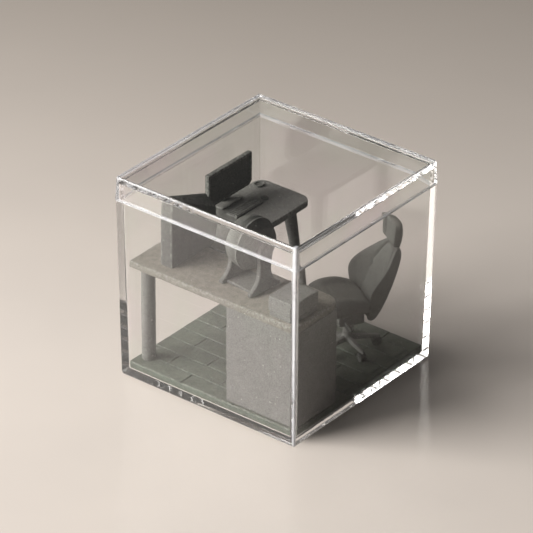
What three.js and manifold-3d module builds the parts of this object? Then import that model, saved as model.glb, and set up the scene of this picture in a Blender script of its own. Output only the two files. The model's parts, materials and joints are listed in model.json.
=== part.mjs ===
// Office diorama in a clear display cube: a friction-lid box of clear polystyrene that holds a
// grey resin miniature of an office, with a front desk, a side table, a swivel chair and desk items.
// Units are millimetres, +Z is up and the origin is the centre of the box's underside.
// +X runs along the front desk to the visitor's right, and -Y is the side of the front desk.
import * as THREE from "three";
import { mergeVertices } from "three/addons/utils/BufferGeometryUtils.js";
import Module from "manifold-3d";

const wasm = await Module();
wasm.setup();

// ---- driving dimensions -------------------------------------------------------------------------

// Clear box and lid: half widths across the flats, and heights above the underside.
const CASE = { baseHalf: 29.2, topHalf: 29.9, wall: 1.9, floor: 2, shoulderZ: 53.1, cornerShare: 0.03 };
const NECK = { half: 28.85, topZ: 57.9 };
const LID = { skirtHalf: 30, topHalf: 29.65, boreHalf: 29, seatGap: 0.05, undersideZ: 58, topZ: 60 };

// Resin floor plate with rows of planks along X.
const FLOOR = { half: 27.1, bottomZ: CASE.floor, topZ: 4.5, firstRow: 5.1, rowPitch: 5.6, plankLength: 17.5, groove: 0.35 };

// Front desk: top slab, round leg and pedestal.
const DESK = { backY: -8.5, thickness: 2, topZ: 35.1, edge: 0.3, corner: 4 };
const DESK_LEG = { x: -24.1, y: -22.8, radius: 1.9 };
const PEDESTAL = { leftX: 5.2, frontY: -26.6, backY: -10.2 };

// Side table: its near end stands against the front desk, and two splayed, tapered legs hold up its far end.
const TABLE = { leftX: -27.1, rightX: -9, frontY: -8.4, backY: 27.1, thickness: 2, topZ: DESK.topZ, corner: 3.2 };
const TABLE_LEG = { rightInset: 3.8, leftInset: 4.9, endInset: 5.5, topRadius: 1.85, footRadius: 0.6, splay: 2.9 };

// File tower on the desk. Its top falls towards the back, and falls further along its right side.
const TOWER = { leftX: -19.4, rightX: -15.5, frontY: -23.3, backY: -5.9, frontZ: 53.8, backLeftZ: 47.4, backRightZ: 44.5 };

// Monitor on the side table, facing +X.
const MONITOR = { faceX: -24.1, depth: 1.5, nearY: 1.6, farY: 19.9, bottomZ: 37.3, topZ: 47.1, corner: 1.1 };
const KEYBOARD = { x: -19.4, y: 10.8, width: 11, depth: 3.6, height: 0.7 };
const MOUSE = { x: -18.8, y: 18.6, length: 2.6, height: 0.9 };
const GROMMET = { x: -24.6, y: 23.4, radius: 1.5, bore: 0.95, height: 0.5 };

// Two box files lying one on the other at the right end of the desk.
const BOX_FILES = { leftX: 18.6, rightX: 26, frontY: -26.1, backY: -16.9, heights: [1.5, 4.4] };

// Round head in a yoke on the desk; the head turns about the line through both cheeks.
const YOKE = { x: 4.8, y: -16.4, turn: -6, span: 8.9, cheek: 1.4, baseDepth: 7.8, baseHeight: 0.9, footReach: 5.3 };
const HEAD = { radius: 6.3, centreZ: 46.7, halfWidth: 4.2, rimX: 1.3, rimWidth: 0.45, pinRadius: 0.8, pinGap: 0.25 };

// Swivel chair: its own frame has +X where the sitter faces and the origin on the floor below the axis.
const CHAIR = { x: 12.4, y: 13.5, facing: 238, hubZ: 9.2, baseRadius: 8.4, firstLeg: -23, legs: 5 };
const CASTOR = { radius: 1.3, width: 1.9, stemRadius: 0.45 };
const SEAT = { halfWidth: 8.4, bottomZ: 15.6, crownZ: 22.4, rearX: -5, crownX: 3.8, frontX: 9.4 };
const BACK = { footX: -4.2, footZ: 14.6, height: 21, lean: 22.5, thickness: 2.3, hollow: 10.5, rear: 22 };
const HEADREST = { footX: -11.8, footZ: 34.7, height: 7.5, lean: 3, thickness: 2.7, hollow: 7, rear: 8, halfWidth: 4.4 };

const POST_LENGTH = 0.9; // from the backrest to the headrest

// Clearance between faces that meet but don't overlap.
const TOUCH = 0.05;

// ---- materials ----------------------------------------------------------------------------------

function clearPlastic() {
  return new THREE.MeshStandardMaterial({
    color: 0xf2f1ee, roughness: 0.05, metalness: 0, transparent: true, opacity: 0.28,
  });
}

function greyResin(shade = 0x6d6f6a) {
  return new THREE.MeshStandardMaterial({ color: shade, roughness: 0.8, metalness: 0 });
}

// ---- solids -------------------------------------------------------------------------------------

// A closed three.js geometry as a solid that can be joined and cut.
function solidOf(geometry) {
  const bare = geometry.clone();
  bare.deleteAttribute("normal");
  bare.deleteAttribute("uv");
  const merged = mergeVertices(bare, 1e-4);
  return new wasm.Manifold(new wasm.Mesh({
    numProp: 3,
    vertProperties: new Float32Array(merged.attributes.position.array),
    triVerts: new Uint32Array(merged.index.array),
  }));
}

function geometryOf(solid) {
  const mesh = solid.getMesh();
  const geometry = new THREE.BufferGeometry();
  geometry.setAttribute("position", new THREE.BufferAttribute(new Float32Array(mesh.vertProperties), 3));
  geometry.setIndex(new THREE.BufferAttribute(new Uint32Array(mesh.triVerts), 1));
  geometry.computeVertexNormals();
  return geometry;
}

function joined(...geometries) {
  return geometryOf(geometries.map(solidOf).reduce((whole, piece) => whole.add(piece)));
}

function cut(geometry, ...tools) {
  return geometryOf(tools.map(solidOf).reduce((rest, tool) => rest.subtract(tool), solidOf(geometry)));
}

function named(name, geometry, material = greyResin()) {
  const mesh = new THREE.Mesh(geometry, material);
  mesh.name = name;
  return mesh;
}

// ---- shapes -------------------------------------------------------------------------------------

function box([x0, x1], [y0, y1], [z0, z1]) {
  const geometry = new THREE.BoxGeometry(x1 - x0, y1 - y0, z1 - z0);
  return geometry.translate((x0 + x1) / 2, (y0 + y1) / 2, (z0 + z1) / 2);
}

// A rectangle with round corners, centred on the origin; the corner at +X and +Y may be rounder.
function roundedRectangle(halfX, halfY, radius, farRadius = radius) {
  const shape = new THREE.Shape();
  shape.moveTo(halfX, -halfY + radius);
  shape.absarc(halfX - farRadius, halfY - farRadius, farRadius, 0, Math.PI / 2);
  shape.absarc(-halfX + radius, halfY - radius, radius, Math.PI / 2, Math.PI);
  shape.absarc(-halfX + radius, -halfY + radius, radius, Math.PI, 1.5 * Math.PI);
  shape.absarc(halfX - radius, -halfY + radius, radius, 1.5 * Math.PI, 2 * Math.PI);
  return shape;
}

// A round-cornered square drawn up through stations of [height, half width].
function squareLoft(stations) {
  const square = roundedRectangle(1, 1, CASE.cornerShare);
  const steps = stations.length - 1;
  const geometry = new THREE.ExtrudeGeometry(square, { depth: 1, steps, bevelEnabled: false, curveSegments: 3 });
  const position = geometry.attributes.position;
  for (let i = 0; i < position.count; i++) {
    const [height, half] = stations[Math.round(position.getZ(i) * steps)];
    position.setXYZ(i, position.getX(i) * half, position.getY(i) * half, height);
  }
  return geometry;
}

// A flat board with softened edges: an outline in X and Y raised from bottomZ to topZ.
function board(outline, bottomZ, topZ, edge, curveSegments = 6) {
  const depth = topZ - bottomZ - 2 * edge;
  const geometry = new THREE.ExtrudeGeometry(outline, {
    depth, bevelThickness: edge, bevelSize: edge, bevelOffset: -edge, bevelSegments: 1, curveSegments,
  });
  return geometry.translate(0, 0, bottomZ + edge);
}

function boardBox([x0, x1], [y0, y1], [z0, z1], edge, corner = 0.4, farCorner = corner) {
  const outline = roundedRectangle((x1 - x0) / 2, (y1 - y0) / 2, corner, farCorner);
  return board(outline, z0, z1, edge, farCorner > 1 ? 6 : 2).translate((x0 + x1) / 2, (y0 + y1) / 2, 0);
}

// An outline drawn in Y and Z (or forward and up), made into a plate of the given width across X.
function sidePlate(points, width, edge = 0) {
  const outline = new THREE.Shape(points.map(([y, z]) => new THREE.Vector2(y, z)));
  const geometry = new THREE.ExtrudeGeometry(outline, {
    depth: width - 2 * edge, bevelEnabled: edge > 0, bevelThickness: edge, bevelSize: edge,
    bevelOffset: -edge, bevelSegments: 1,
  });
  geometry.translate(0, 0, -width / 2 + edge);
  return geometry.rotateX(Math.PI / 2).rotateZ(Math.PI / 2);
}

// A round piece turned about Z through [radius, height] points that start and end on the axis.
function turned(points, segments = 24) {
  return new THREE.LatheGeometry(points.map(([r, z]) => new THREE.Vector2(r, z)), segments).rotateX(Math.PI / 2);
}

function rod(radius, bottomZ, topZ, segments = 24, footRadius = radius) {
  const geometry = new THREE.CylinderGeometry(radius, footRadius, topZ - bottomZ, segments);
  return geometry.rotateX(Math.PI / 2).translate(0, 0, (topZ + bottomZ) / 2);
}

// ---- clear box ----------------------------------------------------------------------------------

function caseBody() {
  const { baseHalf, topHalf, wall, floor, shoulderZ } = CASE;
  const outside = squareLoft([
    [0, baseHalf - 0.9], [0.3, baseHalf - 0.35], [0.9, baseHalf],
    [shoulderZ, topHalf], [shoulderZ, NECK.half], [NECK.topZ, NECK.half],
  ]);
  const inside = squareLoft([
    [floor, baseHalf - wall - 0.1], [floor + 0.6, baseHalf - wall], [NECK.topZ + 1, topHalf - wall],
  ]);
  return named("case_body", cut(outside, inside), clearPlastic());
}

function caseLid() {
  const skirtZ = CASE.shoulderZ + LID.seatGap;
  const outside = squareLoft([[skirtZ, LID.skirtHalf], [LID.topZ - 0.35, LID.topHalf], [LID.topZ, LID.topHalf - 0.3]]);
  const inside = squareLoft([[skirtZ - 1, LID.boreHalf], [LID.undersideZ, LID.boreHalf]]);
  return named("case_lid", cut(outside, inside), clearPlastic());
}

// ---- floor and furniture ------------------------------------------------------------------------

// Plank rows run along X; the end joints of every second row are half a plank further along.
function floorPlate() {
  const { half, bottomZ, topZ, firstRow, rowPitch, plankLength, groove } = FLOOR;
  const plate = board(roundedRectangle(half, half, 0.6), bottomZ, topZ, 0.2, 3);
  const sunk = [topZ - groove, topZ + 1];
  const grooves = [];
  const rows = 1 + Math.ceil((2 * half - firstRow) / rowPitch);
  for (let row = 0; row < rows; row++) {
    const nearY = row > 0 ? -half + firstRow + (row - 1) * rowPitch : -half - 1;
    const farY = Math.min(-half + firstRow + row * rowPitch, half + 1);
    if (row > 0) grooves.push(box([-half - 1, half + 1], [nearY - groove / 2, nearY + groove / 2], sunk));
    const start = row % 2 ? plankLength / 2 : plankLength;
    for (let x = -half + start; x < half - 1; x += plankLength) {
      grooves.push(box([x - groove / 2, x + groove / 2], [nearY, farY], sunk));
    }
  }
  return named("floor_plate", cut(plate, ...grooves), greyResin(0x5f625c));
}

function frontDesk() {
  const group = new THREE.Group();
  const { half, topZ: floorZ } = FLOOR;
  const undersideZ = DESK.topZ - DESK.thickness;
  const slab = boardBox([-half, half], [-half, DESK.backY], [undersideZ, DESK.topZ], DESK.edge, 0.4, DESK.corner);
  const leg = rod(DESK_LEG.radius, floorZ, undersideZ, 28).translate(DESK_LEG.x, DESK_LEG.y, 0);
  const pedestal = boardBox([PEDESTAL.leftX, half - 0.1], [PEDESTAL.frontY, PEDESTAL.backY], [floorZ, undersideZ], 0.2);
  group.add(named("desk_top", slab), named("desk_leg", leg), named("desk_pedestal", pedestal));
  return group;
}

// Leans an upright geometry so that its foot on the floor moves by [x, y] and its top stays.
function splayed(geometry, topZ, footX, footY) {
  const position = geometry.attributes.position;
  for (let i = 0; i < position.count; i++) {
    const down = (topZ - position.getZ(i)) / (topZ - FLOOR.topZ);
    position.setX(i, position.getX(i) + down * footX);
    position.setY(i, position.getY(i) + down * footY);
  }
}

function sideTable() {
  const group = new THREE.Group();
  const { leftX, rightX, frontY, backY, topZ, thickness, corner } = TABLE;
  const undersideZ = topZ - thickness;
  const centreX = (leftX + rightX) / 2;
  const centreY = (frontY + backY) / 2;
  const outline = roundedRectangle((rightX - leftX) / 2, (backY - frontY) / 2, corner);
  const top = board(outline, undersideZ, topZ, DESK.edge, 5).translate(centreX, centreY, 0);
  group.add(named("side_table_top", top, greyResin(0x666863)));

  const { rightInset, leftInset, endInset, topRadius, footRadius, splay } = TABLE_LEG;
  for (const [place, side] of Object.entries({ right: 1, left: -1 })) {
    const leg = rod(topRadius, FLOOR.topZ, undersideZ, 16, footRadius);
    splayed(leg, undersideZ, side * splay, splay);
    const x = side > 0 ? rightX - rightInset : leftX + leftInset;
    group.add(named("side_table_leg_" + place, leg.translate(x, backY - endInset, 0)));
  }
  return group;
}

function fileTower() {
  const { leftX, rightX, frontY, backY, frontZ, backLeftZ, backRightZ } = TOWER;
  const foot = [leftX, rightX].flatMap((x) => [[x, frontY, DESK.topZ], [x, backY, DESK.topZ]]);
  const top = [[leftX, frontY, frontZ], [rightX, frontY, frontZ], [leftX, backY, backLeftZ], [rightX, backY, backRightZ]];
  return named("file_tower", geometryOf(wasm.Manifold.hull([...foot, ...top])));
}

// ---- things on the side table -------------------------------------------------------------------

function monitor() {
  const group = new THREE.Group();
  const { faceX, depth, nearY, farY, bottomZ, topZ, corner } = MONITOR;
  const middleY = (nearY + farY) / 2;
  const outline = [
    [nearY + corner, bottomZ], [farY - corner, bottomZ], [farY, bottomZ + corner],
    [farY, topZ], [nearY, topZ], [nearY, bottomZ + corner],
  ];
  const panel = sidePlate(outline, depth, 0.15).translate(faceX - depth / 2, 0, 0);
  const neck = box([faceX - depth - 1, faceX - depth - TOUCH], [middleY - 1.6, middleY + 1.6], [TABLE.topZ + 0.6, bottomZ + 4]);
  const foot = board(roundedRectangle(1.9, 4.4, 1.2), TABLE.topZ, TABLE.topZ + 0.6, 0.1, 4);
  foot.translate(faceX - 1, middleY, 0);
  group.add(named("monitor_panel", panel, greyResin(0x555753)));
  group.add(named("monitor_neck", neck), named("monitor_foot", foot));
  return group;
}

function keyboard() {
  const { x, y, width, depth, height } = KEYBOARD;
  const keys = boardBox([x - depth / 2, x + depth / 2], [y - width / 2, y + width / 2], [TABLE.topZ, TABLE.topZ + height], 0.15);
  return named("keyboard", keys);
}

function mouse() {
  const { x, y, length, height } = MOUSE;
  const dome = turned([[0, 0], [1, 0], [1, 0.25], [0.85, 0.65], [0.5, 0.92], [0, 1]], 16);
  dome.scale(length / 2, length / 3.2, height);
  return named("mouse", dome.translate(x, y, TABLE.topZ));
}

// A ring round the cable hole in the corner of the side table.
function cableGrommet() {
  const { x, y, radius, bore, height } = GROMMET;
  const ring = cut(rod(radius, 0, height, 24), rod(bore, 0.15, height + 1, 20));
  return named("cable_grommet", ring.translate(x, y, TABLE.topZ));
}

// ---- things on the front desk -------------------------------------------------------------------

function boxFiles() {
  const group = new THREE.Group();
  const { leftX, rightX, frontY, backY, heights } = BOX_FILES;
  const [lower, upper] = heights;
  const seamZ = DESK.topZ + lower;
  const overhang = 0.25; // the lower file is a little smaller all round
  const lowerX = [leftX + overhang, rightX - overhang];
  const lowerY = [frontY + overhang, backY - overhang];
  group.add(named("box_file_lower", boardBox(lowerX, lowerY, [DESK.topZ, seamZ], 0.12, 0.3)));
  group.add(named("box_file_upper", boardBox([leftX, rightX], [frontY, backY], [seamZ, seamZ + upper], 0.2, 0.3)));
  return group;
}

// A cheek plate in its own Y and Z: an upright whose feet flare out to the front and back.
function cheekOutline() {
  const { footReach } = YOKE;
  const pivot = HEAD.centreZ - DESK.topZ;
  const half = 2.1;
  const shape = new THREE.Shape();
  shape.moveTo(-footReach, 0);
  shape.lineTo(-footReach + 1.6, 0);
  shape.lineTo(footReach - 1.6, 0);
  shape.lineTo(footReach, 0);
  shape.lineTo(footReach + 0.2, 1);
  shape.quadraticCurveTo(half + 0.2, 2.4, half, 6);
  shape.lineTo(half, pivot);
  shape.absarc(0, pivot, half, 0, Math.PI);
  shape.lineTo(-half, 6);
  shape.quadraticCurveTo(-half - 0.2, 2.4, -footReach - 0.2, 1);
  shape.closePath();
  return shape;
}

function yokeCheek(name, side) {
  const plate = new THREE.ExtrudeGeometry(cheekOutline(), { depth: YOKE.cheek, bevelEnabled: false, curveSegments: 8 });
  plate.translate(0, 0, -YOKE.cheek / 2).rotateX(Math.PI / 2).rotateZ(Math.PI / 2);
  const bore = new THREE.CylinderGeometry(HEAD.pinRadius + HEAD.pinGap, HEAD.pinRadius + HEAD.pinGap, 4, 20);
  bore.rotateZ(Math.PI / 2).translate(0, 0, HEAD.centreZ - DESK.topZ);
  return named(name, cut(plate, bore).translate((side * (YOKE.span + YOKE.cheek)) / 2, 0, 0));
}

// A solid turned about X through [x, radius] points; its ends lie on the axis.
function turnedAboutX(points, segments = 28) {
  return turned(points.map(([x, r]) => [r, x]), segments).rotateY(Math.PI / 2);
}

// Points of the ball's outline between two places along X, with an optional step every few points.
function ballOutline(fromX, toX, count, step = 0) {
  return Array.from({ length: count + 1 }, (_, i) => {
    const x = fromX + ((toX - fromX) * i) / count;
    return [x, Math.sqrt(HEAD.radius ** 2 - x ** 2) - (i % 2 ? step : 0)];
  });
}

// The head is a ball with flat ends and a pin at each end: a smooth shell, a rim and a ribbed housing.
function roundHead() {
  const group = new THREE.Group();
  const { radius, halfWidth, rimX, rimWidth, pinRadius } = HEAD;
  const pinEnd = YOKE.span / 2 + YOKE.cheek + 0.35;
  const leftX = rimX - rimWidth / 2;
  const rightX = rimX + rimWidth / 2;
  const shell = turnedAboutX([
    [-pinEnd, 0], [-pinEnd, pinRadius], [-halfWidth, pinRadius],
    ...ballOutline(-halfWidth, leftX, 8), [leftX, 0],
  ]);
  const housing = turnedAboutX([
    [rightX, 0], ...ballOutline(rightX, halfWidth, 8, 0.3), [halfWidth, pinRadius], [pinEnd, pinRadius], [pinEnd, 0],
  ]);
  const rim = turnedAboutX([[leftX, 0], [leftX, radius + 0.2], [rightX, radius + 0.2], [rightX, 0]]);
  group.add(named("head_shell", shell, greyResin(0x8b8d88)));
  group.add(named("head_rim", rim), named("head_housing", housing, greyResin(0x5a5c58)));
  group.position.z = HEAD.centreZ - DESK.topZ;
  return group;
}

function yokeAndHead() {
  const group = new THREE.Group();
  const { span, baseDepth, baseHeight } = YOKE;
  const halfSpan = span / 2 - TOUCH;
  const base = boardBox([-halfSpan, halfSpan], [-baseDepth / 2, baseDepth / 2], [0, baseHeight], 0.15);
  group.add(named("yoke_base", base));
  group.add(yokeCheek("yoke_cheek_left", -1), yokeCheek("yoke_cheek_right", 1), roundHead());
  group.position.set(YOKE.x, YOKE.y, DESK.topZ);
  group.rotation.z = THREE.MathUtils.degToRad(YOKE.turn);
  return group;
}

// ---- swivel chair -------------------------------------------------------------------------------

function starBase() {
  const { hubZ, baseRadius, firstLeg, legs } = CHAIR;
  const hub = turned([[0, 7], [1.5, 7], [1.8, 7.6], [1.5, 8.6], [1.1, hubZ], [0, hubZ]], 20);
  const arms = [];
  for (let i = 0; i < legs; i++) {
    const arm = sidePlate([[0.5, 7.1], [baseRadius + 0.5, 7.15], [baseRadius + 0.6, 7.9], [0.5, 8.6]], 1.3, 0.15);
    arm.rotateZ(-Math.PI / 2 + THREE.MathUtils.degToRad(firstLeg + (i * 360) / legs));
    arms.push(arm);
  }
  return named("chair_star_base", joined(hub, ...arms));
}

function castor(index) {
  const { radius, width, stemRadius } = CASTOR;
  const wheel = new THREE.CylinderGeometry(radius, radius, width, 16).translate(0, 0, 0);
  wheel.translate(0, 0, radius);
  const stem = rod(stemRadius, radius, CHAIR.hubZ - FLOOR.topZ - 2.1, 12);
  const piece = joined(wheel, stem);
  const turn = THREE.MathUtils.degToRad(CHAIR.firstLeg + (index * 360) / CHAIR.legs);
  piece.translate(CHAIR.baseRadius - 0.4, 0, FLOOR.topZ).rotateZ(turn);
  return named("chair_castor_" + (index + 1), piece, greyResin(0x50524e));
}

// A cushion with a domed top, rounded at the front and hollowed at the rear to fit into the backrest.
function seatCushion() {
  const { halfWidth, bottomZ, crownZ, rearX, crownX, frontX } = SEAT;
  const side = new THREE.Shape();
  side.moveTo(rearX, bottomZ);
  side.lineTo(frontX - 2, bottomZ + 1.4);
  side.quadraticCurveTo(frontX, bottomZ + 2, frontX, bottomZ + 4);
  side.quadraticCurveTo(frontX - 1.8, crownZ, crownX, crownZ);
  side.quadraticCurveTo(0, crownZ - 0.4, rearX, bottomZ + 1.4);
  side.closePath();
  const edge = 0.8;
  const cushion = new THREE.ExtrudeGeometry(side, {
    depth: 2 * (halfWidth - edge), bevelThickness: edge, bevelSize: edge, bevelOffset: -edge,
    bevelSegments: 2, curveSegments: 6,
  });
  cushion.translate(0, 0, -halfWidth + edge).rotateX(Math.PI / 2);
  const inFrontOfBack = placedLeaning(hollowTube(BACK.hollow - 0.2, BACK.hollow), BACK);
  return named("chair_seat", geometryOf(solidOf(cushion).intersect(solidOf(inFrontOfBack))), greyResin(0x62645f));
}

// Backrest and headrest are made in a frame with X to the front and Z up, with the origin at the
// middle of the foot of the front face. Their front faces follow an upright cylinder.
function hollowTube(radius, hollow) {
  return new THREE.CylinderGeometry(radius, radius, 70, 64).rotateX(Math.PI / 2).translate(hollow, 0, 0);
}

// The front face is hollowed more than the rear face is rounded, so the shell is thicker at its sides.
function hollowShell(outline, { hollow, rear, thickness }) {
  const blank = new THREE.ExtrudeGeometry(outline, { depth: hollow, bevelEnabled: false, curveSegments: 5 });
  blank.translate(0, 0, -thickness - 1).rotateX(Math.PI / 2).rotateZ(Math.PI / 2);
  const outer = solidOf(hollowTube(rear, rear - thickness));
  return geometryOf(solidOf(blank).intersect(outer).subtract(solidOf(hollowTube(hollow, hollow))));
}

// Leans a geometry made in that frame backwards and moves it to its place on the chair.
function placedLeaning(geometry, { lean, footX, footZ }) {
  return geometry.rotateY(THREE.MathUtils.degToRad(-lean)).translate(footX, 0, footZ);
}

// The backrest is narrow at the neck and at the foot, with side wings halfway up.
function backrestOutline() {
  const outline = new THREE.Shape();
  outline.moveTo(-4.6, 0);
  outline.lineTo(4.6, 0);
  outline.bezierCurveTo(7.4, 1.4, 8.9, 5.4, 8.6, 9.4);
  outline.bezierCurveTo(8.3, 13.4, 6.2, 17.4, 3.3, BACK.height);
  outline.lineTo(-3.3, BACK.height);
  outline.bezierCurveTo(-6.2, 17.4, -8.3, 13.4, -8.6, 9.4);
  outline.bezierCurveTo(-8.9, 5.4, -7.4, 1.4, -4.6, 0);
  return outline;
}

function headrestOutline() {
  const { halfWidth, height } = HEADREST;
  const outline = new THREE.Shape();
  outline.moveTo(-1.6, 0);
  outline.lineTo(1.6, 0);
  outline.bezierCurveTo(3.4, 0.6, halfWidth, 2.4, halfWidth, 4);
  outline.bezierCurveTo(halfWidth, 5.6, 3.2, height - 0.4, 1.8, height);
  outline.lineTo(-1.8, height);
  outline.bezierCurveTo(-3.2, height - 0.4, -halfWidth, 5.6, -halfWidth, 4);
  outline.bezierCurveTo(-halfWidth, 2.4, -3.4, 0.6, -1.6, 0);
  return outline;
}

function backrest() {
  const group = new THREE.Group();
  const post = box([-1.9, -0.7], [-1.3, 1.3], [BACK.height + TOUCH, BACK.height + POST_LENGTH]);
  group.add(named("chair_backrest", placedLeaning(hollowShell(backrestOutline(), BACK), BACK), greyResin(0x6f716c)));
  group.add(named("chair_headrest_post", placedLeaning(post, BACK)));
  const pad = placedLeaning(hollowShell(headrestOutline(), HEADREST), HEADREST);
  group.add(named("chair_headrest", pad, greyResin(0x6f716c)));
  return group;
}

function chair() {
  const group = new THREE.Group();
  const fixed = new THREE.Group();
  fixed.add(starBase(), named("chair_column_outer", rod(1.05, CHAIR.hubZ + TOUCH, 10.8, 20)));
  for (let i = 0; i < CHAIR.legs; i++) fixed.add(castor(i));
  const turning = new THREE.Group();
  turning.add(named("chair_column_inner", rod(0.7, 10.8 + TOUCH, 12.4, 16)));
  turning.add(named("chair_mechanism", boardBox([-4, 3.4], [-2.6, 2.6], [12.4 + TOUCH, SEAT.bottomZ - TOUCH], 0.3)));
  turning.add(seatCushion(), backrest());
  turning.rotation.z = THREE.MathUtils.degToRad(CHAIR.facing);
  group.add(fixed, turning);
  group.position.set(CHAIR.x, CHAIR.y, 0);
  return group;
}

// ---- assembly -----------------------------------------------------------------------------------

const diorama = new THREE.Group();
diorama.add(caseBody(), caseLid(), floorPlate(), frontDesk(), sideTable());
diorama.add(fileTower(), monitor(), keyboard(), mouse(), cableGrommet(), boxFiles(), yokeAndHead(), chair());

export default diorama;
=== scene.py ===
"""Looks for the office diorama in its clear display cube. Lengths below are millimetres until a
mesh is made; +Z is up and -Y is the side of the front desk."""
import json
import math

import bmesh
import bpy
from mathutils import Matrix, Vector, noise


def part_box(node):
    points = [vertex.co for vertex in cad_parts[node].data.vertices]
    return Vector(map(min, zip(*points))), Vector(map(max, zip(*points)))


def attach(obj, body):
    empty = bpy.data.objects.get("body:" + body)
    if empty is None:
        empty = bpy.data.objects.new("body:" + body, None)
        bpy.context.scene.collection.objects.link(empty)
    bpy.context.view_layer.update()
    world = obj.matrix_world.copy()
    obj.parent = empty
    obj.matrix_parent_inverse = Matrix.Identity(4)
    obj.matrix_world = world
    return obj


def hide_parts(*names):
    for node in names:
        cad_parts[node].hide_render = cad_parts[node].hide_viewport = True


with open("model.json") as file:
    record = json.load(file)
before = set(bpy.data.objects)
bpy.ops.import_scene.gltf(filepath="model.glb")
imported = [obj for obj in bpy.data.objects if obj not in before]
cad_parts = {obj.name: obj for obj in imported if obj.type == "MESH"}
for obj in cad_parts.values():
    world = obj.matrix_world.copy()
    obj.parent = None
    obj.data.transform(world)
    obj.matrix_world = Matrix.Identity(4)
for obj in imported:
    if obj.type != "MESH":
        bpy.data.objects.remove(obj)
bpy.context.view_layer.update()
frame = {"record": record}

JOINTS = {j["name"]: j for j in frame["record"]["behaviour"]["joints"]}


def span(node):
    """A CAD node's box as (x0, x1), (y0, y1), (z0, z1) in millimetres."""
    low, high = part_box(node)
    return [(low[i] * 1000, high[i] * 1000) for i in range(3)]


# ---- materials ----------------------------------------------------------------------------------

class Shader:
    """A node material with short calls for making and joining nodes."""

    def __init__(self, name):
        self.material = bpy.data.materials.new(name)
        self.material.use_nodes = True
        self.tree = self.material.node_tree
        self.tree.nodes.clear()
        coordinates = self.node("ShaderNodeTexCoord").outputs["Object"]
        self.place = self.node("ShaderNodeMapping", Vector=coordinates, Scale=(1000, 1000, 1000)).outputs[0]

    def node(self, kind, settings=None, **inputs):
        made = self.tree.nodes.new(kind)
        for key, value in (settings or {}).items():
            setattr(made, key, value)
        for key, value in inputs.items():
            by_index = key[0] == "i" and key[1:].isdigit()
            socket = made.inputs[int(key[1:]) if by_index else key.replace("_", " ")]
            if isinstance(value, bpy.types.NodeSocket):
                self.tree.links.new(value, socket)
            else:
                socket.default_value = value
        return made

    def noise(self, scale, detail=3, rough=0.55, place=None):
        made = self.node("ShaderNodeTexNoise", Vector=place or self.place, Scale=scale,
                         Detail=detail, Roughness=rough)
        return made.outputs["Fac"]

    def ramp(self, value, low, high, low_out=0.0, high_out=1.0):
        made = self.node("ShaderNodeMapRange", {"clamp": True}, Value=value)
        for socket, number in zip(made.inputs[1:5], (low, high, low_out, high_out)):
            socket.default_value = number
        return made.outputs[0]

    def maths(self, operation, a, b=0.5):
        return self.node("ShaderNodeMath", {"operation": operation}, i0=a, i1=b).outputs[0]

    def mix(self, amount, a, b):
        made = self.node("ShaderNodeMix", {"data_type": "RGBA"})
        for index, value in ((0, amount), (6, a), (7, b)):
            if isinstance(value, bpy.types.NodeSocket):
                self.tree.links.new(value, made.inputs[index])
            else:
                made.inputs[index].default_value = value if index == 0 else (*value, 1)
        return made.outputs[2]

    def output(self, surface):
        self.node("ShaderNodeOutputMaterial", Surface=surface)
        return self.material


FLECK, DUST, RUBBED = (0.5, 0.5, 0.46), (0.36, 0.33, 0.28), (0.33, 0.335, 0.31)


def resin(name, tone, pale, dark=0.82, speck=0.5, worn=0.6, dusty=0.15):
    """Cast grey resin: grained, faintly streaked, with specks, rubbed edges and dust on its tops."""
    s = Shader(name)
    cloud = s.ramp(s.noise(0.3, 4), 0.38, 0.62)
    body = s.mix(cloud, [c * dark for c in tone], tone)
    upright = s.node("ShaderNodeMapping", Vector=s.place, Scale=(2.2, 2.2, 0.12)).outputs[0]
    streaks = s.ramp(s.noise(1.0, 3, 0.6, upright), 0.42, 0.62, 0.0, 0.3)
    body = s.mix(streaks, body, [c * 0.72 for c in tone])
    grain = s.ramp(s.noise(2.3, 4, 0.8), 0.42, 0.64, 0.0, 0.6)
    body = s.mix(grain, body, pale)
    pits = s.ramp(s.noise(1.7, 2, 0.5), 0.3, 0.4, 0.55, 0.0)
    body = s.mix(pits, body, [c * 0.45 for c in tone])
    cells = s.node("ShaderNodeTexVoronoi", Vector=s.place, Scale=0.9, Randomness=1.0)
    size = s.ramp(cells.outputs["Color"], 0.25, 0.9, 0.02, 0.2)
    fleck = s.maths("LESS_THAN", cells.outputs["Distance"], size)
    patchy = s.ramp(s.noise(0.5, 2), 0.42, 0.66, 0.0, speck)
    body = s.mix(s.maths("MULTIPLY", fleck, patchy), body, FLECK)
    normal = s.node("ShaderNodeNewGeometry").outputs["True Normal"]
    upward = s.ramp(s.node("ShaderNodeSeparateXYZ", Vector=normal).outputs["Z"], 0.75, 0.98)
    settled = s.ramp(s.noise(0.55, 5, 0.7), 0.36, 0.62, dusty * 0.25, dusty)
    body = s.mix(s.maths("MULTIPLY", upward, settled), body, DUST)
    rubbed = s.node("ShaderNodeAttribute", {"attribute_name": "rub"}).outputs["Fac"]
    rubbed = s.maths("MULTIPLY", rubbed, s.ramp(s.noise(1.3, 4, 0.7), 0.44, 0.66, 0.0, worn))
    body = s.mix(rubbed, body, RUBBED)
    relief = s.maths("ADD", s.noise(3.0, 4, 0.7), s.maths("MULTIPLY", s.noise(0.7, 3), 1.2))
    bump = s.node("ShaderNodeBump", Strength=0.6, Distance=0.00028, Height=relief).outputs[0]
    roughness = s.ramp(s.noise(1.1, 3), 0.3, 0.7, 0.62, 0.86)
    surface = s.node("ShaderNodeBsdfPrincipled", Base_Color=body, Roughness=roughness, Normal=bump)
    surface.inputs["Specular IOR Level"].default_value = 0.3
    return s.output(surface.outputs[0])


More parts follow.
